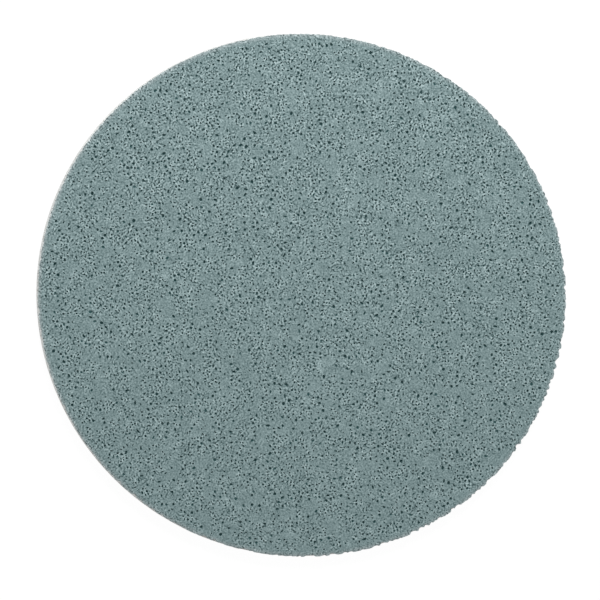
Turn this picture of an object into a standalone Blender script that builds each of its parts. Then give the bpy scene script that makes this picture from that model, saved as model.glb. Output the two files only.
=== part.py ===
"""Foam abrasive disc for a random-orbit sander: an abrasive coat and a loop backing bonded to a foam pad.

Metres, +Z up. The origin is the centre of the back face, which lies on the surface, and +Z is the disc's
axis, towards the abrasive face.
"""

import math

import bmesh
import bpy

# Driving dimensions
DISC_DIAMETER = 0.150
COAT_THICKNESS = 0.0003
FOAM_THICKNESS = 0.0042
BACKING_THICKNESS = 0.0011
GLUE_FILM = 0.0001  # adhesive between two layers, which is left as a gap

# Edges as the die leaves them
ROLL_WIDTH = 0.0015  # outer band of the face that the die presses down
ROLL_DROP = 0.00025  # how much lower the face is at the rim
WAIST_DEPTH = 0.0003  # how far the foam's wall springs back inwards at mid height
BACKING_EDGE_RADIUS = 0.00035

# Colours as linear red, green and blue, and how rough each surface is
COAT_COLOUR, COAT_ROUGHNESS = (0.198, 0.275, 0.283), 0.85
FOAM_COLOUR, FOAM_ROUGHNESS = (0.70, 0.72, 0.70), 0.9
BACKING_COLOUR, BACKING_ROUGHNESS = (0.76, 0.76, 0.73), 0.95

# Fineness of the turned outlines
TURN_STEPS = 144
ROLL_STEPS = 4
WAIST_STEPS = 8
CORNER_STEPS = 3
SHARP_ANGLE = math.radians(35)
MERGE_DISTANCE = 1e-6

# Heights and radius that follow from the driving dimensions
DISC_RADIUS = DISC_DIAMETER / 2
FOAM_BASE = BACKING_THICKNESS + GLUE_FILM
FOAM_TOP = FOAM_BASE + FOAM_THICKNESS
COAT_BASE = FOAM_TOP + GLUE_FILM
COAT_TOP = COAT_BASE + COAT_THICKNESS


def clear_scene():
    for item in list(bpy.data.objects):
        bpy.data.objects.remove(item, do_unlink=True)


def surface_material(name, colour, roughness):
    material = bpy.data.materials.new(name)
    material.use_nodes = True
    shader = material.node_tree.nodes["Principled BSDF"]
    shader.inputs["Base Color"].default_value = (*colour, 1.0)
    shader.inputs["Roughness"].default_value = roughness
    shader.inputs["Metallic"].default_value = 0.0
    return material


def rolled_face(height):
    """Points of a face at this height from the disc's axis out to the rim, with its edge rolled down."""
    points = [(0.0, height)]
    for step in range(ROLL_STEPS + 1):
        share = step / ROLL_STEPS
        radius = DISC_RADIUS - ROLL_WIDTH * (1 - share)
        points.append((radius, height - ROLL_DROP * share**2))
    return points


def waisted_wall(top, base):
    """Points down the foam's wall between its two corners, hollowed to the waist depth at mid height."""
    points = []
    for step in range(1, WAIST_STEPS):
        share = step / WAIST_STEPS
        hollow = WAIST_DEPTH * 4 * share * (1 - share)
        points.append((DISC_RADIUS - hollow, top + (base - top) * share))
    return points


def rounded_corner(middle_height, start_angle):
    """A quarter circle of the backing's edge, turning down from the start angle."""
    middle_radius = DISC_RADIUS - BACKING_EDGE_RADIUS
    points = []
    for step in range(CORNER_STEPS + 1):
        angle = start_angle - math.pi / 2 * step / CORNER_STEPS
        points.append(
            (
                middle_radius + BACKING_EDGE_RADIUS * math.cos(angle),
                middle_height + BACKING_EDGE_RADIUS * math.sin(angle),
            )
        )
    return points


def turned_layer(name, outline, material):
    """Turns an outline of (radius, height) points, from the axis at the top round to the axis below."""
    form = bmesh.new()
    points = [form.verts.new((radius, 0.0, height)) for radius, height in outline]
    lines = [form.edges.new(pair) for pair in zip(points, points[1:])]
    bmesh.ops.spin(
        form,
        geom=points + lines,
        cent=(0.0, 0.0, 0.0),
        axis=(0.0, 0.0, 1.0),
        angle=2 * math.pi,
        steps=TURN_STEPS,
        use_merge=True,
    )
    bmesh.ops.remove_doubles(form, verts=form.verts, dist=MERGE_DISTANCE)
    bmesh.ops.recalc_face_normals(form, faces=form.faces)
    mesh = bpy.data.meshes.new(name)
    form.to_mesh(mesh)
    form.free()
    mesh.shade_smooth()
    mesh.set_sharp_from_angle(angle=SHARP_ANGLE)
    mesh.materials.append(material)
    layer = bpy.data.objects.new(name, mesh)
    bpy.context.collection.objects.link(layer)
    return layer


def abrasive_coat():
    """Thin mineral coat that follows the foam's face and its rolled edge."""
    material = surface_material("abrasive_coat", COAT_COLOUR, COAT_ROUGHNESS)
    under_side = reversed(rolled_face(COAT_BASE))
    return turned_layer("abrasive_coat", [*rolled_face(COAT_TOP), *under_side], material)


def foam_pad():
    """Soft pad with a waisted, die-cut wall."""
    material = surface_material("foam_pad", FOAM_COLOUR, FOAM_ROUGHNESS)
    face = rolled_face(FOAM_TOP)
    wall = waisted_wall(FOAM_TOP - ROLL_DROP, FOAM_BASE)
    base = [(DISC_RADIUS, FOAM_BASE), (0.0, FOAM_BASE)]
    return turned_layer("foam_pad", [*face, *wall, *base], material)


def loop_backing():
    """Loop fabric that holds the disc on a hook-faced sanding pad."""
    material = surface_material("loop_backing", BACKING_COLOUR, BACKING_ROUGHNESS)
    upper = rounded_corner(BACKING_THICKNESS - BACKING_EDGE_RADIUS, math.pi / 2)
    lower = rounded_corner(BACKING_EDGE_RADIUS, 0.0)
    outline = [(0.0, BACKING_THICKNESS), *upper, *lower, (0.0, 0.0)]
    return turned_layer("loop_backing", outline, material)


def main():
    clear_scene()
    abrasive_coat()
    foam_pad()
    loop_backing()


main()
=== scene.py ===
"""Looks of the foam abrasive disc: a pitted mineral coat, an open-celled pad and a looped cloth back.

Metres, +Z up, in the CAD's frame: the disc lies on its loop back and its axis is the Z axis.
"""

import math

import bmesh
import bpy
from mathutils import Euler, Matrix, Vector, noise
from mathutils.geometry import delaunay_2d_cdt


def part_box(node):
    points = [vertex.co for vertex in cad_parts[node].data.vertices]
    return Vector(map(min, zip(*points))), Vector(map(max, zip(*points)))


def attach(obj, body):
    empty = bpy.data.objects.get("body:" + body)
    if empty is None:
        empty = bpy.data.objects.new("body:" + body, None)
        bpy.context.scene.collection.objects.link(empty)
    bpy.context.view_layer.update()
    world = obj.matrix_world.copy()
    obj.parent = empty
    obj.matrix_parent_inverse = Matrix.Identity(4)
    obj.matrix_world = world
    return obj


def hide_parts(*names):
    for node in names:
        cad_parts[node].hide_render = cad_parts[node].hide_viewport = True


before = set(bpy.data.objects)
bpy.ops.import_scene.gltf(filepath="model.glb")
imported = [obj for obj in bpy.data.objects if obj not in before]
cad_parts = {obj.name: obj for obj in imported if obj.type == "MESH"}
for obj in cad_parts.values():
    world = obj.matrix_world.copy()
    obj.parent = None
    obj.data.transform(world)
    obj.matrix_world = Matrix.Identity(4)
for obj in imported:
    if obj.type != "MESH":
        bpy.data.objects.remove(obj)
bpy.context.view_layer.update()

MM = 0.001
FULL_TURN = 2 * math.pi
SHARP_ANGLE = math.radians(35)
MERGE_DISTANCE = 1e-6
LAND_PRECISION = 1e-6
CARRIER_COLUMNS = 128
NOISE_MIDDLE = 0.5

# The photograph: its frame, and where the middle of the face lies in it
FRAME_PIXELS = 600
FACE_MIDDLE = (303.58, 295.57)
FACE_PIXELS = 528.1

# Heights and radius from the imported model
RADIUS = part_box("abrasive_coat")[1][0]
FACE_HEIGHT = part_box("abrasive_coat")[1][2]
PAD_BASE, PAD_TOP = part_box("foam_pad")[0][2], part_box("foam_pad")[1][2]
CLOTH_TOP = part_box("loop_backing")[1][2]

# Edge of the face as the die leaves it, and the least width of a ring there
ROLL_WIDTH = 1.5 * MM
ROLL_DROP = 0.25 * MM
ROLL_STEPS = 4
RING_LEAST = 0.03 * MM

# How far the cut is torn in, from noise of two sizes, and how much more on one side of the disc
EDGE_ROUGHNESS = 0.50 * MM
FINE_TEAR_SIZE, COARSE_TEAR_SIZE = 1.0 * MM, 3.0 * MM
COARSE_TEAR_PLACE = Vector((0.0, 0.0, 7.0))
TEAR_LEVEL, FINE_TEAR_SHARE, COARSE_TEAR_SHARE = 0.3, 1.8, 1.2
ROUGH_SIDE = math.radians(305)
ROUGH_MIDDLE, ROUGH_SWING = 0.6, 0.4
EDGE_FRAY = 0.12 * MM
FRAY_SIZE = 0.9 * MM
FRAY_PLACE = 3.0

# The soft disc is cut slightly oval: its long radius, its short one, and the long one's direction
LONG_SHARE, SHORT_SHARE = 1.0098, 0.9902
LONG_DIRECTION = math.radians(166)

# Mineral coat
COAT_COLUMNS = 1080
COAT_UNDERSIDE = PAD_TOP + 0.03 * MM
PIT_BAND = 0.15 * MM
PIT_DEEPEST = 0.34 * MM
ISLAND_SIZE, ISLAND_LEVEL = 5 * MM, 0.38
BRIDGE_NARROW, BRIDGE_WIDE = 0.25 * MM, 0.9 * MM

# Pits of the face and cells of the wall
ISLAND_WAVER = 0.12
GAP_SHARE, EDGE_ROOM_SHARE = 0.46, 0.8
MIDDLING_SHARE = 0.7
RAGGED_SIZE = 0.5 * MM

# Foam pad
PAD_COLUMNS = 720
WAIST_DEPTH = 0.3 * MM
WALL_ROWS = 3
DRAG_SHARE = 0.5
CELL_DEEPEST = 0.5 * MM
CELL_MARGIN = 0.2 * MM
CELL_ISLAND_SIZE = 5 * MM

# Loop cloth
CLOTH_COLUMNS = 360
CLOTH_BASE = 0.5 * MM
CLOTH_CORNER = 0.2 * MM
CLOTH_CORNER_STEPS = 3
LOOP_HEIGHT = 0.49 * MM
LOOP_THICKNESS = 0.13 * MM
LOOP_ROOT = 0.06 * MM
PILE_EDGE = 0.8 * MM
LOOP_START, LOOP_SWEEP = math.radians(-20), math.radians(220)
LOOP_POINTS, THREAD_SIDES = 5, 3
LOOP_WIDTH_SHARES, LOOP_HEIGHT_SHARES = (0.7, 1.25), (0.6, 1.0)
SIDEWAYS_LEAN_SHARE = 0.3

# Camera
LENS_MM, SENSOR_MM = 400.0, 36.0
LEAN = math.radians(7.4)
LEAN_DIRECTION = math.radians(168)
CLIP_END = 20.0

# Light
SKY_LEVEL = 0.20
KEY_PLACE, KEY_SIZE, KEY_WATTS = (0.03, 0.35, 0.48), 0.30, 2.65
FILL_PLACE, FILL_SIZE, FILL_WATTS = (1.30, -0.15, 0.32), 0.70, 6.2
FLOOR_REACH = 8.0
FLOOR_COLOUR = 0.8
FLOOR_SHADED_SHARE = 0.09
FLOOR_GLOW = 0.955

# Look of the coat: its green level as shown on screen, and how far red and blue lie from it
COAT_LEVEL = 0.554
COAT_RED_STEP, COAT_BLUE_STEP = -0.084, 0.005
SCREEN_GAMMA = 2.2
COAT_ROUGHNESS, ROUGHNESS_SWING = 0.85, 0.1
COAT_RELIEF = 0.06 * MM
GRIT_STRENGTH = 0.27
GRIT_HEIGHTS = (0.2, 0.8)
PATCH_SIZE, PATCH_STRENGTH = 2.2 * MM, 0.075

# Pits, with painted shade down in them, and the narrow land between them, with a painted highlight
PIT_SHADE_LEVEL, PIT_SHADE_RED_STEP = 0.20, -0.18
PIT_SHADE_DEPTHS, PIT_SHADE_RED_POWER = (0.05, 0.65), 2.0
# Painted highlight on the narrow land between pits, as if their lips caught the light
BRIDGE_HIGHLIGHT, BRIDGE_HIGHLIGHT_POWER = 0.12, 1.5

# Pale and dark marks, painted glints and painted shade in fine cracks: fewer on the islands, and weaker on
# the side away from the key lamp, which is painted light
STREAK_CELL, STREAKS_PER_CELL, STREAK_LENGTHENING = 1.0 * MM, 1.1, 0.35
DRIFT_SIZE, DRIFT_RANGE = 4 * MM, (0.3, 0.7)
MARK_BREAKUP = 0.35
GLINT_MARKS, CRACK_SHADE_MARKS = (0.0, 0.24), (-0.04, -0.17)
FLECK_GLINT, FLECK_CRACK_SHADE = 0.140, 0.225
FLECK_LIT_SIDE_SHARES = (0.66, 1.16)
BUSY_LEVELS = (ISLAND_LEVEL - 0.04, ISLAND_LEVEL + 0.24)
BUSY_SHARES = (0.40, 1.20)

# Paler edge from wear, which is wider towards two sides of the disc along Y; the extra width there is
# painted light on the rolled rim
WEAR_AND_LIT_RIM_WIDTHS = (1.25 * MM, 1.7 * MM)
LIT_RIM_START, WEAR_AND_LIT_RIM_FULL = RADIUS / 3, 0.1 * MM
EDGE_PALE, EDGE_RED_STEP = 0.08, -0.055

# Foam and cloth
FOAM_COLOUR = (0.76, 0.78, 0.77)
# Painted shade down in the foam's cells: the deeper, the darker
CELL_SHADE_COLOUR = (0.30, 0.30, 0.28)
CELL_SHADE_DEPTHS = (0.0, 0.8)
FOAM_GRAIN, FOAM_SHADES = (-0.3, 0.3), (0.86, 1.14)
FOAM_ROUGHNESS = 0.9
FOAM_RELIEF = 0.05 * MM
# The ground cloth's off-white is painted darker than the loops, as painted shade under the pile
SHADED_CLOTH_COLOUR = (0.66, 0.66, 0.63)
LOOP_COLOUR = (0.80, 0.80, 0.77)
CLOTH_GRAIN, CLOTH_SHADES = (-0.35, 0.35), (0.88, 1.10)
CLOTH_ROUGHNESS = 0.95
CLOTH_RELIEF = 0.08 * MM
CLOTH_RIBS, THREAD_RIBS = 180.0, 900.0
RIB_WAVER, RIB_SHARE = 1.5, 0.6


# Node tree helpers

def pick(sockets, name):
    """The socket of this number, or the one in use that has this name."""
    if isinstance(name, int):
        return sockets[name]
    return next(socket for socket in sockets if socket.enabled and socket.name == name)


def feed(tree, socket, value):
    """Links another node's socket to this one, or sets its value."""
    if isinstance(value, bpy.types.NodeSocket):
        tree.links.new(value, socket)
    else:
        socket.default_value = value


def add(tree, kind, inputs=None, **settings):
    """A new node with these settings and inputs."""
    node = tree.nodes.new(kind)
    for name, value in settings.items():
        setattr(node, name, value)
    for name, value in (inputs or {}).items():
        feed(tree, pick(node.inputs, name), value)
    return node


def calc(tree, operation, *values, clamp=False):
    """The result of one Math node."""
    node = add(tree, "ShaderNodeMath", operation=operation, use_clamp=clamp)
    for socket, value in zip(node.inputs, values):
        feed(tree, socket, value)
    return node.outputs[0]


def vector_calc(tree, operation, *values):
    """The result of one Vector Math node."""
    node = add(tree, "ShaderNodeVectorMath", operation=operation)
    for socket, value in zip(node.inputs, values):
        feed(tree, socket, value)
    return next(socket for socket in node.outputs if socket.enabled)


def scaled(tree, vector, share):
    """The vector times this share."""
    return add(tree, "ShaderNodeVectorMath", {0: vector, "Scale": share}, operation="SCALE").outputs[0]


def ramped(tree, value, start, end, low=0.0, high=1.0, smooth=True):
    """A value that goes from low to high as the given one goes from start to end."""
    node = add(tree, "ShaderNodeMapRange", interpolation_type="SMOOTHSTEP" if smooth else "LINEAR")
    for socket, part in zip(node.inputs, (value, start, end, low, high)):
        feed(tree, socket, part)
    return node.outputs[0]


def blended(tree, share, first, second):
    """The first value where the share is 0, and the second where it is 1."""
    node = add(tree, "ShaderNodeMix", data_type="FLOAT")
    for name, value in (("Factor", share), ("A", first), ("B", second)):
        feed(tree, pick(node.inputs, name), value)
    return pick(node.outputs, "Result")


def cloud(tree, place, scale, detail=1.0, output=0):
    """Noise about NOISE_MIDDLE, with this many features per metre."""
    node = add(tree, "ShaderNodeTexNoise", {"Vector": place, "Scale": scale, "Detail": detail})
    return node.outputs[output]


def flattened(tree, vector):
    """The vector without its height."""
    return vector_calc(tree, "MULTIPLY", vector, (1.0, 1.0, 0.0))


def new_tree(name, kind, inputs, outputs):
    """A node group with these sockets: name to (socket type, value or None)."""
    tree = bpy.data.node_groups.new(name, kind)
    for side, sockets in (("INPUT", inputs), ("OUTPUT", outputs)):
        for label, (socket_type, value) in sockets.items():
            socket = tree.interface.new_socket(label, in_out=side, socket_type="NodeSocket" + socket_type)
            if value is not None:
                socket.default_value = value
    given = add(tree, "NodeGroupInput")
    result = add(tree, "NodeGroupOutput")
    return tree, given.outputs, result.inputs


def use_group(tree, group, inputs):
    """The outputs of a shader group placed in a tree."""
    return add(tree, "ShaderNodeGroup", node_tree=group, inputs=inputs).outputs


# Mesh helpers

def grown(name, carrier, tree, values):
    """The plain mesh that a Geometry Nodes tree makes on a carrier mesh."""
    holder = bpy.data.objects.new(name, carrier)
    bpy.context.collection.objects.link(holder)
    change = holder.modifiers.new(name, "NODES")
    change.node_group = tree
    for item in tree.interface.items_tree:
        if item.in_out == "INPUT" and item.name in values:
            change[item.identifier] = values[item.name]
    graph = bpy.context.evaluated_depsgraph_get()
    mesh = bpy.data.meshes.new_from_object(holder.evaluated_get(graph))
    bpy.data.objects.remove(holder)
    return mesh


def new_piece(name, form, material):
    """A finished piece made of a bmesh, cut oval as the disc is, riding on the disc."""
    bmesh.ops.transform(form, matrix=oval_cut(), verts=form.verts)
    mesh = bpy.data.meshes.new(name)
    form.to_mesh(mesh)
    form.free()
    mesh.shade_smooth()
    mesh.set_sharp_from_angle(angle=SHARP_ANGLE)
    mesh.materials.clear()
    mesh.materials.append(material)
    piece = bpy.data.objects.new(name, mesh)
    bpy.context.collection.objects.link(piece)
    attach(piece, "root")
    return piece


def oval_cut():
    """Draws the disc out along its long direction and in across it."""
    turn = Matrix.Rotation(LONG_DIRECTION, 4, "Z")
    return turn @ Matrix.Diagonal((LONG_SHARE, SHORT_SHARE, 1.0, 1.0)) @ turn.inverted()


def pitted_form():
    """An empty bmesh that notes each point's pit, its depth there and how narrow the land is."""
    form = bmesh.new()
    form.verts.layers.int.new("pit")
    form.verts.layers.float.new("depth")
    form.verts.layers.float.new("bridge")
    return form


def on_circle(radius, angle, height):
    """The point at this distance from the disc's axis, angle and height."""
    return radius * math.cos(angle), radius * math.sin(angle), height


def turned(form, outline, columns, shift=lambda angle, step: 0.0):
    """Adds rings of points about the disc's axis along an outline of (radius, height), and their faces."""
    rings = []
    for step, (radius, height) in enumerate(outline):
        ring = []
        for column in range(columns):
            angle = FULL_TURN * column / columns
            ring.append(form.verts.new(on_circle(radius + shift(angle, step), angle, height)))
        rings.append(ring)
    for inner, outer in zip(rings, rings[1:]):
        for column in range(columns):
            after = (column + 1) % columns
            form.faces.new((inner[column], outer[column], outer[after], inner[after]))
    return rings


def close_below(form, ring, height):
    """Closes a ring with a fan of faces that look down."""
    middle = form.verts.new((0.0, 0.0, height))
    for point, after in zip(ring, ring[1:] + ring[:1]):
        form.faces.new((point, middle, after))


def close_above(form, ring, height):
    """Closes a ring with a fan of faces that look up."""
    middle = form.verts.new((0.0, 0.0, height))
    for point, after in zip(ring, ring[1:] + ring[:1]):
        form.faces.new((after, middle, point))


def flat_face(name, corners):
    """A mesh of one face that looks up, with these corners at height zero."""
    mesh = bpy.data.meshes.new(name)
    mesh.from_pydata([(*corner, 0.0) for corner in corners], [], [tuple(range(len(corners)))])
    return mesh


def flat_disc(radius):
    """Carrier mesh: one round face."""
    angles = [FULL_TURN * column / CARRIER_COLUMNS for column in range(CARRIER_COLUMNS)]
    return flat_face("carrier", [(radius * math.cos(angle), radius * math.sin(angle)) for angle in angles])


def mark_bridges(form):
    """Notes on each rim how narrow the land is there between its pit and the next one."""
    number = form.verts.layers.int["pit"]
    bridge = form.verts.layers.float["bridge"]
    for point in form.verts:
        if point[number]:
            spans = [
                edge.calc_length()
                for edge in point.link_edges
                if edge.other_vert(point)[number] != point[number]
            ]
            width = min(spans, default=BRIDGE_WIDE)
            share = (BRIDGE_WIDE - width) / (BRIDGE_WIDE - BRIDGE_NARROW)
            point[bridge] = min(1.0, max(0.0, share))


def fill_land(form, pits):
    """Adds the pits, and the land between their rims and the form's open edge."""
    form.from_mesh(pits)
    form.verts.ensure_lookup_table()
    number = form.verts.layers.int["pit"]
    rims = [edge for edge in form.edges if edge.is_boundary or edge.is_wire]
    points = []
    order = {}
    for edge in rims:
        for point in edge.verts:
            if point not in order:
                order[point] = len(points)
                points.append(point)
    places = [Vector((point.co.x / MM, point.co.y / MM)) for point in points]
    pairs = [(order[edge.verts[0]], order[edge.verts[1]]) for edge in rims]
    _, _, faces, origins, _, _ = delaunay_2d_cdt(places, pairs, [], 0, LAND_PRECISION)
    for face in faces:
        corners = [points[origins[corner][0]] for corner in face]
        owners = {corner[number] for corner in corners}
        if len(owners) > 1 or owners == {0}:
            form.faces.new(corners)
    mark_bridges(form)


# Geometry Nodes trees

def random_value(tree, low, high, seed):
    """A random number for each point."""
    draw = add(tree, "FunctionNodeRandomValue", {"Min": low, "Max": high, "Seed": seed})
    return pick(draw.outputs, "Value")


def scattered(tree, given, density):
    """Points on the given mesh, no nearer to each other than its least spacing."""
    spread = add(tree, "GeometryNodeDistributePointsOnFaces", distribute_method="POISSON")
    feed(tree, pick(spread.inputs, "Mesh"), given["Geometry"])
    feed(tree, pick(spread.inputs, "Distance Min"), given["Least Spacing"])
    feed(tree, pick(spread.inputs, "Density Max"), given[density])
    feed(tree, pick(spread.inputs, "Seed"), given["Seed"])
    return spread.outputs["Points"]


def stored(tree, geometry, name, value, kind, domain):
    """The geometry with this value kept as a named attribute."""
    node = add(tree, "GeometryNodeStoreNamedAttribute", data_type=kind, domain=domain)
    for label, part in (("Geometry", geometry), ("Name", name), ("Value", value)):
        feed(tree, pick(node.inputs, label), part)
    return node.outputs[0]


def dress(tree, geometry, given, result):
    """Ends a tree: the geometry gets the given material and goes out."""
    dressed = add(tree, "GeometryNodeSetMaterial", {"Geometry": geometry, "Material": given["Material"]})
    feed(tree, result["Geometry"], dressed.outputs[0])


def pit_cup(tree, corners, floor_share):
    """One open cup of radius 1 and depth 1 that tapers to a flat floor."""
    cone = add(
        tree,
        "GeometryNodeMeshCone",
        {"Vertices": corners, "Radius Top": floor_share, "Radius Bottom": 1.0, "Depth": -1.0},
        fill_type="NGON",
    )
    return add(
        tree,
        "GeometryNodeDeleteGeometry",
        {"Geometry": cone.outputs["Mesh"], "Selection": cone.outputs["Bottom"]},
        domain="FACE",
        mode="ONLY_FACE",
    ).outputs[0]


def pit_tree():
    """Pits sunk in a flat carrier that looks up: open cups with rims of five to seven corners."""
    tree, given, result = new_tree(
        "sunk_pits",
        "GeometryNodeTree",
        {
            "Geometry": ("Geometry", None),
            "Least Spacing": ("Float", 0.5 * MM),
            "Pits per Square Metre": ("Float", 1e6),
            "Island Scale": ("Float", 200.0),
            "Island Level": ("Float", 0.4),
            "Smallest Radius": ("Float", 0.15 * MM),
            "Largest Radius": ("Float", 0.4 * MM),
            "Size Skew": ("Float", 1.5),
            "Shallowest": ("Float", 0.1 * MM),
            "Deepest": ("Float", 0.3 * MM),
            "Stretch": ("Float", 1.3),
            "Raggedness": ("Float", 0.1 * MM),
            "Floor Share": ("Float", 0.6),
            "Large Radius": ("Float", 0.3 * MM),
            "Edge Room": ("Float", 0.15 * MM),
            "Seed": ("Int", 1),
            "Material": ("Material", None),
        },
        {"Geometry": ("Geometry", None)},
    )
    seed = given["Seed"]

    # Smooth islands without pits
    place = add(tree, "GeometryNodeInputPosition").outputs[0]
    islands = cloud(tree, place, given["Island Scale"])
    waver = random_value(tree, -ISLAND_WAVER, ISLAND_WAVER, calc(tree, "ADD", seed, 1))
    bare = calc(tree, "LESS_THAN", calc(tree, "ADD", islands, waver), given["Island Level"])
    points = add(
        tree,
        "GeometryNodeDeleteGeometry",
        {"Geometry": scattered(tree, given, "Pits per Square Metre"), "Selection": bare},
        domain="POINT",
    ).outputs[0]

    # Size of each pit, kept clear of the nearest one
    nearest = add(tree, "GeometryNodeIndexOfNearest").outputs["Index"]
    beside = add(tree, "GeometryNodeSampleIndex", data_type="FLOAT_VECTOR")
    for label, part in (("Geometry", points), ("Value", place), ("Index", nearest)):
        feed(tree, pick(beside.inputs, label), part)
    gap = vector_calc(tree, "DISTANCE", place, beside.outputs[0])
    draw = random_value(tree, 0.0, 1.0, calc(tree, "ADD", seed, 2))
    chance = calc(tree, "POWER", draw, given["Size Skew"])
    smallest, largest = given["Smallest Radius"], given["Largest Radius"]
    wanted = ramped(tree, chance, 0.0, 1.0, smallest, largest, smooth=False)
    stretch = random_value(tree, 1.0, given["Stretch"], calc(tree, "ADD", seed, 3))
    edge = add(tree, "GeometryNodeProximity", {0: given["Geometry"]}, target_element="EDGES")
    to_edge = calc(tree, "ADD", pick(edge.outputs, "Distance"), given["Edge Room"])
    gap_room = calc(tree, "MULTIPLY", gap, GAP_SHARE)
    edge_room = calc(tree, "MULTIPLY", to_edge, EDGE_ROOM_SHARE)
    room = calc(tree, "MINIMUM", gap_room, edge_room)
    radius = calc(tree, "MINIMUM", wanted, calc(tree, "DIVIDE", room, stretch))
    depth = random_value(tree, given["Shallowest"], given["Deepest"], calc(tree, "ADD", seed, 4))
    size = add(
        tree,
        "ShaderNodeCombineXYZ",
        {
            "X": calc(tree, "MULTIPLY", radius, stretch),
            "Y": calc(tree, "DIVIDE", radius, stretch),
            "Z": depth,
        },
    ).outputs[0]
    heading = random_value(tree, 0.0, FULL_TURN, calc(tree, "ADD", seed, 5))
    turn = add(tree, "ShaderNodeCombineXYZ", {"Z": heading}).outputs[0]

    # Small pits have five corners, middling ones six, and the largest seven
    cups = add(tree, "GeometryNodeJoinGeometry")
    for corners in (7, 6, 5):
        cup = pit_cup(tree, corners, given["Floor Share"])
        whole = add(tree, "GeometryNodeGeometryToInstance", {0: cup})
        tree.links.new(whole.outputs[0], cups.inputs[0])
    large = calc(tree, "GREATER_THAN", radius, given["Large Radius"])
    middling_radius = calc(tree, "MULTIPLY", given["Large Radius"], MIDDLING_SHARE)
    middling = calc(tree, "GREATER_THAN", radius, middling_radius)
    shape = calc(tree, "ADD", large, middling)
    sunk = add(
        tree,
        "GeometryNodeInstanceOnPoints",
        {
            "Points": points,
            "Instance": cups.outputs[0],
            "Pick Instance": True,
            "Instance Index": shape,
            "Rotation": add(tree, "FunctionNodeEulerToRotation", {0: turn}).outputs[0],
            "Scale": size,
        },
    ).outputs[0]
    index = add(tree, "GeometryNodeInputIndex").outputs[0]
    numbered = stored(tree, sunk, "pit", calc(tree, "ADD", index, 1), "INT", "INSTANCE")
    real = add(tree, "GeometryNodeRealizeInstances", {"Geometry": numbered}).outputs[0]

    # How deep each point lies, as a share, for the material
    height = add(tree, "ShaderNodeSeparateXYZ", {0: place}).outputs["Z"]
    share = calc(tree, "DIVIDE", calc(tree, "MULTIPLY", height, -1.0), given["Deepest"], clamp=True)
    shaded = stored(tree, real, "depth", share, "FLOAT", "POINT")

    # Ragged rims
    ragged = cloud(tree, place, 1 / RAGGED_SIZE, detail=0.0, output="Color")
    push = flattened(tree, vector_calc(tree, "SUBTRACT", ragged, (NOISE_MIDDLE,) * 3))
    offset = scaled(tree, push, given["Raggedness"])
    moved = add(tree, "GeometryNodeSetPosition", {"Geometry": shaded, "Offset": offset}).outputs[0]
    dress(tree, moved, given, result)
    return tree


def loop_tree():
    """Small standing loops of thread on a flat carrier that looks up, to be turned over by the caller."""
    tree, given, result = new_tree(
        "thread_loops",
        "GeometryNodeTree",
        {
            "Geometry": ("Geometry", None),
            "Least Spacing": ("Float", 1.3 * MM),
            "Loops per Square Metre": ("Float", 1e6),
            "Loop Height": ("Float", 0.5 * MM),
            "Loop Width": ("Float", 1.2 * MM),
            "Thread Radius": ("Float", 0.05 * MM),
            "Lean": ("Float", 0.5),
            "Seed": ("Int", 1),
            "Material": ("Material", None),
        },
        {"Geometry": ("Geometry", None)},
    )
    seed = given["Seed"]

    # One loop: a round arc drawn out to its width and height, stood up, and made a thread
    arc = add(
        tree,
        "GeometryNodeCurveArc",
        {"Resolution": LOOP_POINTS, "Radius": 1.0, "Start Angle": LOOP_START, "Sweep Angle": LOOP_SWEEP},
        mode="RADIUS",
    ).outputs[0]
    half_width = calc(tree, "MULTIPLY", given["Loop Width"], 0.5)
    extent = add(tree, "ShaderNodeCombineXYZ", {"X": half_width, "Y": given["Loop Height"], "Z": 1.0})
    shape = add(tree, "GeometryNodeTransform", {"Geometry": arc, "Scale": extent.outputs[0]}).outputs[0]
    upright = add(
        tree,
        "GeometryNodeTransform",
        {"Geometry": shape, "Rotation": Euler((math.radians(90), 0.0, 0.0))},
    ).outputs[0]
    section = add(
        tree,
        "GeometryNodeCurvePrimitiveCircle",
        {"Resolution": THREAD_SIDES, "Radius": given["Thread Radius"]},
        mode="RADIUS",
    ).outputs[0]
    thread = add(
        tree,
        "GeometryNodeCurveToMesh",
        {"Curve": upright, "Profile Curve": section, "Fill Caps": True},
    ).outputs[0]

    # Loops that lean and differ in size
    lean = given["Lean"]
    back = calc(tree, "MULTIPLY", lean, -1.0)
    aside = calc(tree, "MULTIPLY", lean, SIDEWAYS_LEAN_SHARE)
    aside_back = calc(tree, "MULTIPLY", back, SIDEWAYS_LEAN_SHARE)
    turn = add(
        tree,
        "ShaderNodeCombineXYZ",
        {
            "X": random_value(tree, back, lean, calc(tree, "ADD", seed, 1)),
            "Y": random_value(tree, aside_back, aside, seed),
            "Z": random_value(tree, 0.0, FULL_TURN, calc(tree, "ADD", seed, 2)),
        },
    ).outputs[0]
    size = add(
        tree,
        "ShaderNodeCombineXYZ",
        {
            "X": random_value(tree, *LOOP_WIDTH_SHARES, calc(tree, "ADD", seed, 3)),
            "Y": 1.0,
            "Z": random_value(tree, *LOOP_HEIGHT_SHARES, calc(tree, "ADD", seed, 4)),
        },
    ).outputs[0]
    standing = add(
        tree,
        "GeometryNodeInstanceOnPoints",
        {
            "Points": scattered(tree, given, "Loops per Square Metre"),
            "Instance": thread,
            "Rotation": add(tree, "FunctionNodeEulerToRotation", {0: turn}).outputs[0],
            "Scale": size,
        },
    ).outputs[0]
    real = add(tree, "GeometryNodeRealizeInstances", {"Geometry": standing}).outputs[0]
    dress(tree, real, given, result)
    return tree


# Shader groups

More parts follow.
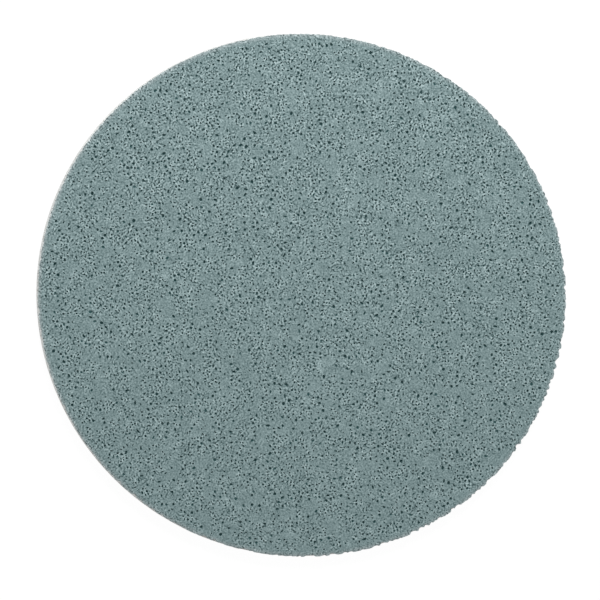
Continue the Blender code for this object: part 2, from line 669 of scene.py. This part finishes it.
def grain_group():
    """Uneven fine grain: a mask about zero and a height, from two sizes of noise."""
    tree, given, result = new_tree(
        "fine_grain",
        "ShaderNodeTree",
        {
            "Vector": ("Vector", None),
            "Grain Size": ("Float", 0.4 * MM),
            "Patch Size": ("Float", 6 * MM),
            "Patch Share": ("Float", 0.3),
        },
        {"Grain": ("Float", None), "Height": ("Float", None)},
    )
    fine = cloud(tree, given["Vector"], calc(tree, "DIVIDE", 1.0, given["Grain Size"]))
    broad = cloud(tree, given["Vector"], calc(tree, "DIVIDE", 1.0, given["Patch Size"]), detail=2.0)
    near = calc(tree, "SUBTRACT", fine, NOISE_MIDDLE)
    far = calc(tree, "MULTIPLY", calc(tree, "SUBTRACT", broad, NOISE_MIDDLE), given["Patch Share"])
    feed(tree, result["Grain"], calc(tree, "ADD", near, far))
    feed(tree, result["Height"], fine)
    return tree


def tint_group():
    """A screen level made a colour: red and blue a fixed step away from the green level."""
    tree, given, result = new_tree(
        "tinted_level",
        "ShaderNodeTree",
        {"Level": ("Float", 0.5), "Red Step": ("Float", 0.0), "Blue Step": ("Float", 0.0)},
        {"Color": ("Color", None)},
    )
    level = given["Level"]
    shade = add(
        tree,
        "ShaderNodeCombineColor",
        {
            "Red": calc(tree, "ADD", level, given["Red Step"], clamp=True),
            "Green": calc(tree, "ADD", level, 0.0, clamp=True),
            "Blue": calc(tree, "ADD", level, given["Blue Step"], clamp=True),
        },
    ).outputs[0]
    shown = add(tree, "ShaderNodeGamma", {"Color": shade, "Gamma": SCREEN_GAMMA})
    feed(tree, result["Color"], shown.outputs[0])
    return tree


# Materials

def new_material(name, roughness):
    """A material with its tree, its shader and the object's coordinates."""
    material = bpy.data.materials.new(name)
    material.use_nodes = True
    tree = material.node_tree
    shader = tree.nodes["Principled BSDF"]
    shader.inputs["Roughness"].default_value = roughness
    place = add(tree, "ShaderNodeTexCoord").outputs["Object"]
    return material, tree, shader, place


def bump(tree, shader, height, distance):
    """Fine relief of this height, in metres."""
    relief = add(tree, "ShaderNodeBump", {"Height": height, "Distance": distance, "Strength": 1.0})
    tree.links.new(relief.outputs[0], shader.inputs["Normal"])


def kept_value(tree, name):
    """The mesh attribute of this name."""
    return add(tree, "ShaderNodeAttribute", attribute_name=name).outputs["Fac"]


def from_axis(tree, place):
    """Distance from the disc's axis, as it would be on the round disc before the oval cut."""
    back = add(
        tree, "ShaderNodeVectorRotate", {"Vector": place, "Angle": -LONG_DIRECTION}, rotation_type="Z_AXIS"
    )
    flat = vector_calc(tree, "MULTIPLY", back.outputs[0], (1 / LONG_SHARE, 1 / SHORT_SHARE, 0.0))
    return add(tree, "ShaderNodeVectorMath", {0: flat}, operation="LENGTH").outputs["Value"]


def streaks(tree, place):
    """Short marks, pale and dark by turns, whose direction drifts across the face: about zero."""
    way = cloud(tree, place, 1 / DRIFT_SIZE)
    mark = add(tree, "ShaderNodeTexGabor", {"Vector": place}, gabor_type="2D")
    feed(tree, pick(mark.inputs, "Scale"), 1 / STREAK_CELL)
    feed(tree, pick(mark.inputs, "Frequency"), STREAKS_PER_CELL)
    feed(tree, pick(mark.inputs, "Anisotropy"), STREAK_LENGTHENING)
    feed(tree, pick(mark.inputs, "Orientation"), ramped(tree, way, *DRIFT_RANGE, 0.0, FULL_TURN))
    return calc(tree, "SUBTRACT", pick(mark.outputs, "Value"), NOISE_MIDDLE)


def coat_finish(grain, tint):
    """Matt teal-grey mineral with pale and dark marks that are painted glints and painted shade, painted
    shade in its pits, painted highlights between close pits, and a paler edge from wear that is partly
    painted light.
    """
    material, tree, shader, place = new_material("mineral_coat", COAT_ROUGHNESS)
    grit = use_group(
        tree, grain, {"Vector": place, "Grain Size": 0.45 * MM, "Patch Size": 9 * MM, "Patch Share": 0.1}
    )
    flat = flattened(tree, place)
    along = add(tree, "ShaderNodeSeparateXYZ", {0: place}).outputs["Y"]

    # Marks, broken up by the grit: painted glints and painted shade in fine cracks
    busy = ramped(tree, cloud(tree, flat, 1 / ISLAND_SIZE), *BUSY_LEVELS, *BUSY_SHARES)
    # Painted light: the marks stand out more towards the key lamp's side, along Y
    side = ramped(tree, along, -RADIUS, RADIUS, *FLECK_LIT_SIDE_SHARES, smooth=False)
    mark = calc(tree, "ADD", streaks(tree, place), calc(tree, "MULTIPLY", grit["Grain"], MARK_BREAKUP))
    glint_mark = ramped(tree, mark, *GLINT_MARKS, 0.0, FLECK_GLINT)
    glint_share = calc(tree, "MULTIPLY", calc(tree, "SQRT", busy), side)
    crack_shade_mark = ramped(tree, mark, *CRACK_SHADE_MARKS, 0.0, -FLECK_CRACK_SHADE)
    crack_shade_share = calc(tree, "MULTIPLY", busy, calc(tree, "SQRT", side))

    # Paler edge, from wear and partly painted light, and a painted highlight on the narrow land between
    # close pits
    wear_and_lit_rim_width = ramped(tree, calc(tree, "ABSOLUTE", along), LIT_RIM_START, RADIUS, *WEAR_AND_LIT_RIM_WIDTHS)
    from_rim = calc(tree, "SUBTRACT", RADIUS, from_axis(tree, place))
    wear_and_lit_rim = ramped(tree, from_rim, wear_and_lit_rim_width, WEAR_AND_LIT_RIM_FULL)
    bridge = calc(tree, "POWER", kept_value(tree, "bridge"), BRIDGE_HIGHLIGHT_POWER)

    # Level of the land, and then the painted shade of the pits, darker the deeper they go
    patch = calc(tree, "SUBTRACT", cloud(tree, flat, 1 / PATCH_SIZE, detail=0.0), NOISE_MIDDLE)
    level = calc(tree, "ADD", calc(tree, "MULTIPLY", grit["Grain"], GRIT_STRENGTH), COAT_LEVEL)
    for part, strength in (
        (wear_and_lit_rim, EDGE_PALE),
        (bridge, BRIDGE_HIGHLIGHT),
        (patch, PATCH_STRENGTH),
        (glint_mark, glint_share),
        (crack_shade_mark, crack_shade_share),
    ):
        level = calc(tree, "ADD", level, calc(tree, "MULTIPLY", part, strength))
    sunk = ramped(tree, kept_value(tree, "depth"), *PIT_SHADE_DEPTHS, smooth=False)
    level = blended(tree, sunk, level, PIT_SHADE_LEVEL)
    land_step = blended(tree, wear_and_lit_rim, COAT_RED_STEP, EDGE_RED_STEP)
    red_step = blended(tree, calc(tree, "POWER", sunk, PIT_SHADE_RED_POWER), land_step, PIT_SHADE_RED_STEP)
    colour = use_group(tree, tint, {"Level": level, "Red Step": red_step, "Blue Step": COAT_BLUE_STEP})
    feed(tree, shader.inputs["Base Color"], colour["Color"])

    least, most = COAT_ROUGHNESS - ROUGHNESS_SWING, COAT_ROUGHNESS + ROUGHNESS_SWING
    feed(tree, shader.inputs["Roughness"], ramped(tree, grit["Height"], *GRIT_HEIGHTS, least, most))
    bump(tree, shader, grit["Height"], COAT_RELIEF)
    return material


def foam_finish(grain):
    """Pale grey foam, with painted shade down in its cells."""
    material, tree, shader, place = new_material("open_cell_foam", FOAM_ROUGHNESS)
    skin = use_group(
        tree, grain, {"Vector": place, "Grain Size": 0.25 * MM, "Patch Size": 5 * MM, "Patch Share": 0.5}
    )
    sunk = ramped(tree, kept_value(tree, "depth"), *CELL_SHADE_DEPTHS)
    shade = ramped(tree, skin["Grain"], *FOAM_GRAIN, *FOAM_SHADES)
    foam = scaled(tree, FOAM_COLOUR, shade)
    mixed = add(tree, "ShaderNodeMix", data_type="RGBA")
    for label, part in (("Factor", sunk), ("A", foam), ("B", (*CELL_SHADE_COLOUR, 1.0))):
        feed(tree, pick(mixed.inputs, label), part)
    feed(tree, shader.inputs["Base Color"], pick(mixed.outputs, "Result"))
    bump(tree, shader, skin["Height"], FOAM_RELIEF)
    return material


def cloth_finish(grain, name, colour, ribs):
    """Off-white thread with this many fine ribs."""
    material, tree, shader, place = new_material(name, CLOTH_ROUGHNESS)
    thread = use_group(
        tree, grain, {"Vector": place, "Grain Size": 0.3 * MM, "Patch Size": 8 * MM, "Patch Share": 0.6}
    )
    shade = ramped(tree, thread["Grain"], *CLOTH_GRAIN, *CLOTH_SHADES)
    feed(tree, shader.inputs["Base Color"], scaled(tree, colour, shade))
    knit = add(
        tree,
        "ShaderNodeTexWave",
        {"Vector": place, "Scale": ribs, "Distortion": RIB_WAVER},
        bands_direction="X",
    ).outputs["Fac"]
    height = calc(tree, "ADD", calc(tree, "MULTIPLY", knit, RIB_SHARE), thread["Height"])
    bump(tree, shader, height, CLOTH_RELIEF)
    return material


# Pieces

def rolled_height(radius, height):
    """Height of a face at this radius, which rolls down towards the rim."""
    share = max(0.0, (radius - (RADIUS - ROLL_WIDTH)) / ROLL_WIDTH)
    return height - ROLL_DROP * share**2


def rolled_outline(height):
    """Points of a face from the start of its rolled edge to the rim."""
    start = RADIUS - ROLL_WIDTH
    radii = [start + ROLL_WIDTH * step / ROLL_STEPS for step in range(ROLL_STEPS + 1)]
    return [(radius, rolled_height(radius, height)) for radius in radii]


def edge_break(angle, drop=0.0):
    """How far the cut stands in at this angle and drop below the rim, where the die tore through cells."""
    around = Vector(on_circle(RADIUS, angle, drop * DRAG_SHARE))
    fine = FINE_TEAR_SHARE * noise.noise(around / FINE_TEAR_SIZE)
    coarse = COARSE_TEAR_SHARE * noise.noise(around / COARSE_TEAR_SIZE + COARSE_TEAR_PLACE)
    rough = ROUGH_MIDDLE + ROUGH_SWING * math.cos(angle - ROUGH_SIDE)
    return -EDGE_ROUGHNESS * rough * max(0.0, TEAR_LEVEL + fine + coarse)


def drawn_in(tear, step):
    """How far a ring of the rolled edge stands in, so that it keeps inside a rim torn back this far."""
    spare = (ROLL_STEPS - step) * (ROLL_WIDTH / ROLL_STEPS - RING_LEAST)
    return min(0.0, tear + spare)


def coat_break(angle, step):
    """How far the coat's edge stands in, which frays a little further than the foam below it."""
    if step > ROLL_STEPS + 1:
        return 0.0
    around = Vector(on_circle(1.0, angle, FRAY_PLACE)) * RADIUS
    fray = EDGE_FRAY * max(0.0, TEAR_LEVEL + FINE_TEAR_SHARE * noise.noise(around / FRAY_SIZE))
    return drawn_in(edge_break(angle) - fray, min(step, ROLL_STEPS))


def pitted_coat(pits, material):
    """The mineral coat: a thin closed shell whose face is pitted by the foam's cells."""
    form = pitted_form()
    under = rolled_outline(COAT_UNDERSIDE)
    outline = rolled_outline(FACE_HEIGHT) + [under[-1], under[0]]
    rings = turned(form, outline, COAT_COLUMNS, coat_break)
    close_below(form, rings[-1], COAT_UNDERSIDE)
    cups = grown(
        "pits",
        flat_disc(RADIUS - ROLL_WIDTH - PIT_BAND),
        pits,
        {
            "Least Spacing": 0.68 * MM,
            "Pits per Square Metre": 0.80e6,
            "Island Scale": 1 / ISLAND_SIZE,
            "Island Level": ISLAND_LEVEL,
            "Smallest Radius": 0.24 * MM,
            "Largest Radius": 0.58 * MM,
            "Size Skew": 1.3,
            "Shallowest": 0.16 * MM,
            "Deepest": PIT_DEEPEST,
            "Stretch": 1.5,
            "Raggedness": 0.08 * MM,
            "Floor Share": 0.6,
            "Large Radius": 0.36 * MM,
            "Edge Room": PIT_BAND,
            "Seed": 11,
            "Material": material,
        },
    )
    cups.transform(Matrix.Translation((0.0, 0.0, FACE_HEIGHT)))
    fill_land(form, cups)
    piece = new_piece("pitted_coat", form, material)
    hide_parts("abrasive_coat")
    return piece


def wrap_wall(form, length, base, height):
    """Bends a flat strip round the disc: along it becomes round, across it up, and sunk becomes inwards."""
    for point in form.verts:
        along, up, out = point.co
        share = up / height
        hollow = WAIST_DEPTH * 4 * share * (1 - share)
        angle = FULL_TURN * along / length
        reach = RADIUS - hollow + out + edge_break(angle, height - up)
        point.co = on_circle(reach, angle, base + up)


def cell_pad(pits, material):
    """The soft pad: its waisted wall is cut through open cells."""
    length = FULL_TURN * RADIUS
    height = PAD_TOP - ROLL_DROP - PAD_BASE
    form = pitted_form()

    # The wall unrolled: its outline, and the cells in it
    step = length / PAD_COLUMNS
    low = [form.verts.new((column * step, 0.0, 0.0)) for column in range(PAD_COLUMNS + 1)]
    high = [form.verts.new((column * step, height, 0.0)) for column in range(PAD_COLUMNS + 1)]
    levels = [height * row / WALL_ROWS for row in range(1, WALL_ROWS)]
    rises = [[form.verts.new((along, level, 0.0)) for along in (0.0, length)] for level in levels]
    left = [low[0], *(pair[0] for pair in rises), high[0]]
    right = [low[-1], *(pair[1] for pair in rises), high[-1]]
    for line in (low, high, left, right):
        for pair in zip(line, line[1:]):
            form.edges.new(pair)
    far, upper = length - CELL_MARGIN, height - CELL_MARGIN
    corners = ((CELL_MARGIN, CELL_MARGIN), (far, CELL_MARGIN), (far, upper), (CELL_MARGIN, upper))
    cells = grown(
        "cells",
        flat_face("carrier", corners),
        pits,
        {
            "Least Spacing": 0.55 * MM,
            "Pits per Square Metre": 3e6,
            "Island Scale": 1 / CELL_ISLAND_SIZE,
            "Island Level": 0.1,
            "Smallest Radius": 0.18 * MM,
            "Largest Radius": 0.45 * MM,
            "Size Skew": 1.0,
            "Shallowest": 0.2 * MM,
            "Deepest": CELL_DEEPEST,
            "Stretch": 1.25,
            "Raggedness": 0.1 * MM,
            "Floor Share": 0.65,
            "Large Radius": 0.32 * MM,
            "Edge Room": CELL_MARGIN,
            "Seed": 23,
            "Material": material,
        },
    )
    fill_land(form, cells)
    wrap_wall(form, length, PAD_BASE, height)

    # The two faces, joined to the wall
    top = turned(
        form,
        rolled_outline(PAD_TOP),
        PAD_COLUMNS,
        lambda angle, step: drawn_in(edge_break(angle), step),
    )
    close_above(form, top[0], PAD_TOP)
    bottom = turned(form, [(RADIUS, PAD_BASE)], PAD_COLUMNS, lambda angle, step: edge_break(angle, height))
    close_below(form, bottom[0], PAD_BASE)
    bmesh.ops.remove_doubles(form, verts=form.verts, dist=MERGE_DISTANCE)
    piece = new_piece("open_cell_pad", form, material)
    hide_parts("foam_pad")
    return piece


def ground_cloth(material):
    """The knitted cloth that carries the loops."""
    form = bmesh.new()
    outline = []
    for start, height in ((90, CLOTH_TOP - CLOTH_CORNER), (0, CLOTH_BASE + CLOTH_CORNER)):
        for step in range(CLOTH_CORNER_STEPS + 1):
            angle = math.radians(start - 90 * step / CLOTH_CORNER_STEPS)
            out, up, _ = on_circle(CLOTH_CORNER, angle, 0.0)
            outline.append((RADIUS - CLOTH_CORNER + out, height + up))
    rings = turned(form, outline, CLOTH_COLUMNS)
    close_above(form, rings[0], CLOTH_TOP)
    close_below(form, rings[-1], CLOTH_BASE)
    return new_piece("loop_cloth", form, material)


def loop_pile(loops, material):
    """The loops that the sanding pad's hooks catch, standing down from the cloth."""
    pile = grown(
        "loops",
        flat_disc(RADIUS - PILE_EDGE),
        loops,
        {
            "Least Spacing": 0.78 * MM,
            "Loops per Square Metre": 0.66e6,
            "Loop Height": LOOP_HEIGHT,
            "Loop Width": 1.1 * MM,
            "Thread Radius": LOOP_THICKNESS / 2,
            "Lean": 0.6,
            "Seed": 5,
            "Material": material,
        },
    )
    form = bmesh.new()
    form.from_mesh(pile)
    over = Matrix.Translation((0.0, 0.0, CLOTH_BASE + LOOP_ROOT)) @ Matrix.Rotation(math.pi, 4, "X")
    bmesh.ops.transform(form, matrix=over, verts=form.verts)
    return new_piece("loop_pile", form, material)


# Stage, light and camera

def ray_is(tree, *kinds):
    """1 on rays of these kinds, and 0 on others."""
    path = add(tree, "ShaderNodeLightPath").outputs
    found = path[kinds[0]]
    for kind in kinds[1:]:
        found = calc(tree, "MAXIMUM", found, path[kind])
    return found


def grey(level):
    """A colour without a tint."""
    return level, level, level, 1.0


def light_floor():
    """A white floor: it keeps the disc's soft shadow, and is seen through from below."""
    material = bpy.data.materials.new("pale_floor")
    material.use_nodes = True
    tree = material.node_tree
    tree.nodes.remove(tree.nodes["Principled BSDF"])
    seen = ray_is(tree, "Is Camera Ray", "Is Glossy Ray")
    plain = add(tree, "ShaderNodeBsdfDiffuse", {"Color": grey(FLOOR_COLOUR)})
    shaded = add(tree, "ShaderNodeBsdfDiffuse", {"Color": grey(FLOOR_SHADED_SHARE)})
    glow = add(tree, "ShaderNodeEmission", {"Strength": FLOOR_GLOW})
    white = add(tree, "ShaderNodeAddShader", {0: shaded.outputs[0], 1: glow.outputs[0]})
    above = add(tree, "ShaderNodeMixShader", {0: seen, 1: plain.outputs[0], 2: white.outputs[0]})
    behind = add(tree, "ShaderNodeNewGeometry").outputs["Backfacing"]
    clear = add(tree, "ShaderNodeBsdfTransparent")
    both = add(tree, "ShaderNodeMixShader", {0: behind, 1: above.outputs[0], 2: clear.outputs[0]})
    feed(tree, tree.nodes["Material Output"].inputs["Surface"], both.outputs[0])
    low, high = -FLOOR_REACH, FLOOR_REACH
    mesh = flat_face("floor", ((low, low), (high, low), (high, high), (low, high)))
    mesh.materials.append(material)
    floor = bpy.data.objects.new("floor", mesh)
    bpy.context.collection.objects.link(floor)


def sky():
    """Even light from all round, seen as white."""
    world = bpy.data.worlds.new("sky")
    bpy.context.scene.world = world
    world.use_nodes = True
    tree = world.node_tree
    seen = ray_is(tree, "Is Camera Ray", "Is Glossy Ray", "Is Transmission Ray")
    lit = tree.nodes["Background"]
    lit.inputs["Color"].default_value = grey(1.0)
    lit.inputs["Strength"].default_value = SKY_LEVEL
    white = add(tree, "ShaderNodeBackground", {"Color": grey(1.0), "Strength": 1.0})
    both = add(tree, "ShaderNodeMixShader", {0: seen, 1: lit.outputs[0], 2: white.outputs[0]})
    feed(tree, tree.nodes["World Output"].inputs["Surface"], both.outputs[0])


def soft_lamp(name, place, size, watts):
    """A round soft lamp aimed at the disc."""
    light = bpy.data.lights.new(name, "AREA")
    light.shape = "DISK"
    light.size = size
    light.energy = watts
    lamp = bpy.data.objects.new(name, light)
    lamp.location = place
    lamp.rotation_euler = Vector(place).to_track_quat("Z", "Y").to_euler()
    lamp.visible_camera = False
    bpy.context.collection.objects.link(lamp)


def studio_lamps():
    """A lamp over the side that is the picture's top, and two low ones that light the wall."""
    soft_lamp("key_lamp", KEY_PLACE, KEY_SIZE, KEY_WATTS)
    aside, along, height = FILL_PLACE
    soft_lamp("left_lamp", (-aside, along, height), FILL_SIZE, FILL_WATTS)
    soft_lamp("right_lamp", (aside, along, height), FILL_SIZE, FILL_WATTS)


def overhead_camera():
    """Looks almost straight down, leaning so that the wall just shows on one side."""
    scale = 2 * RADIUS / FACE_PIXELS
    distance = scale * FRAME_PIXELS * LENS_MM / SENSOR_MM
    aside = Vector((math.cos(LEAN_DIRECTION), math.sin(LEAN_DIRECTION), 0.0))
    back = aside * math.sin(LEAN) + Vector((0.0, 0.0, math.cos(LEAN)))
    right = Vector((0.0, 1.0, 0.0)).cross(back).normalized()
    up = back.cross(right)
    lens = bpy.data.cameras.new("camera")
    lens.lens = LENS_MM
    lens.sensor_width = SENSOR_MM
    lens.clip_end = CLIP_END
    lens.shift_x = -(FACE_MIDDLE[0] - FRAME_PIXELS / 2) / FRAME_PIXELS
    lens.shift_y = (FACE_MIDDLE[1] - FRAME_PIXELS / 2) / FRAME_PIXELS
    camera = bpy.data.objects.new("camera", lens)
    camera.matrix_world = Matrix.Translation(
        Vector((0.0, 0.0, FACE_HEIGHT)) + back * distance
    ) @ Matrix((right, up, back)).transposed().to_4x4()
    bpy.context.collection.objects.link(camera)
    bpy.context.scene.camera = camera


def main():
    overhead_camera()
    grain, tint = grain_group(), tint_group()
    pits = pit_tree()
    pitted_coat(pits, coat_finish(grain, tint))
    cell_pad(pits, foam_finish(grain))
    cloth = ground_cloth(cloth_finish(grain, "knit_cloth", SHADED_CLOTH_COLOUR, CLOTH_RIBS))
    pile = loop_pile(loop_tree(), cloth_finish(grain, "pile_thread", LOOP_COLOUR, THREAD_RIBS))
    for piece in (cloth, pile):
        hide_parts("loop_backing")
    light_floor()
    sky()
    studio_lamps()
    bpy.context.scene.view_settings.view_transform = "Standard"


main()
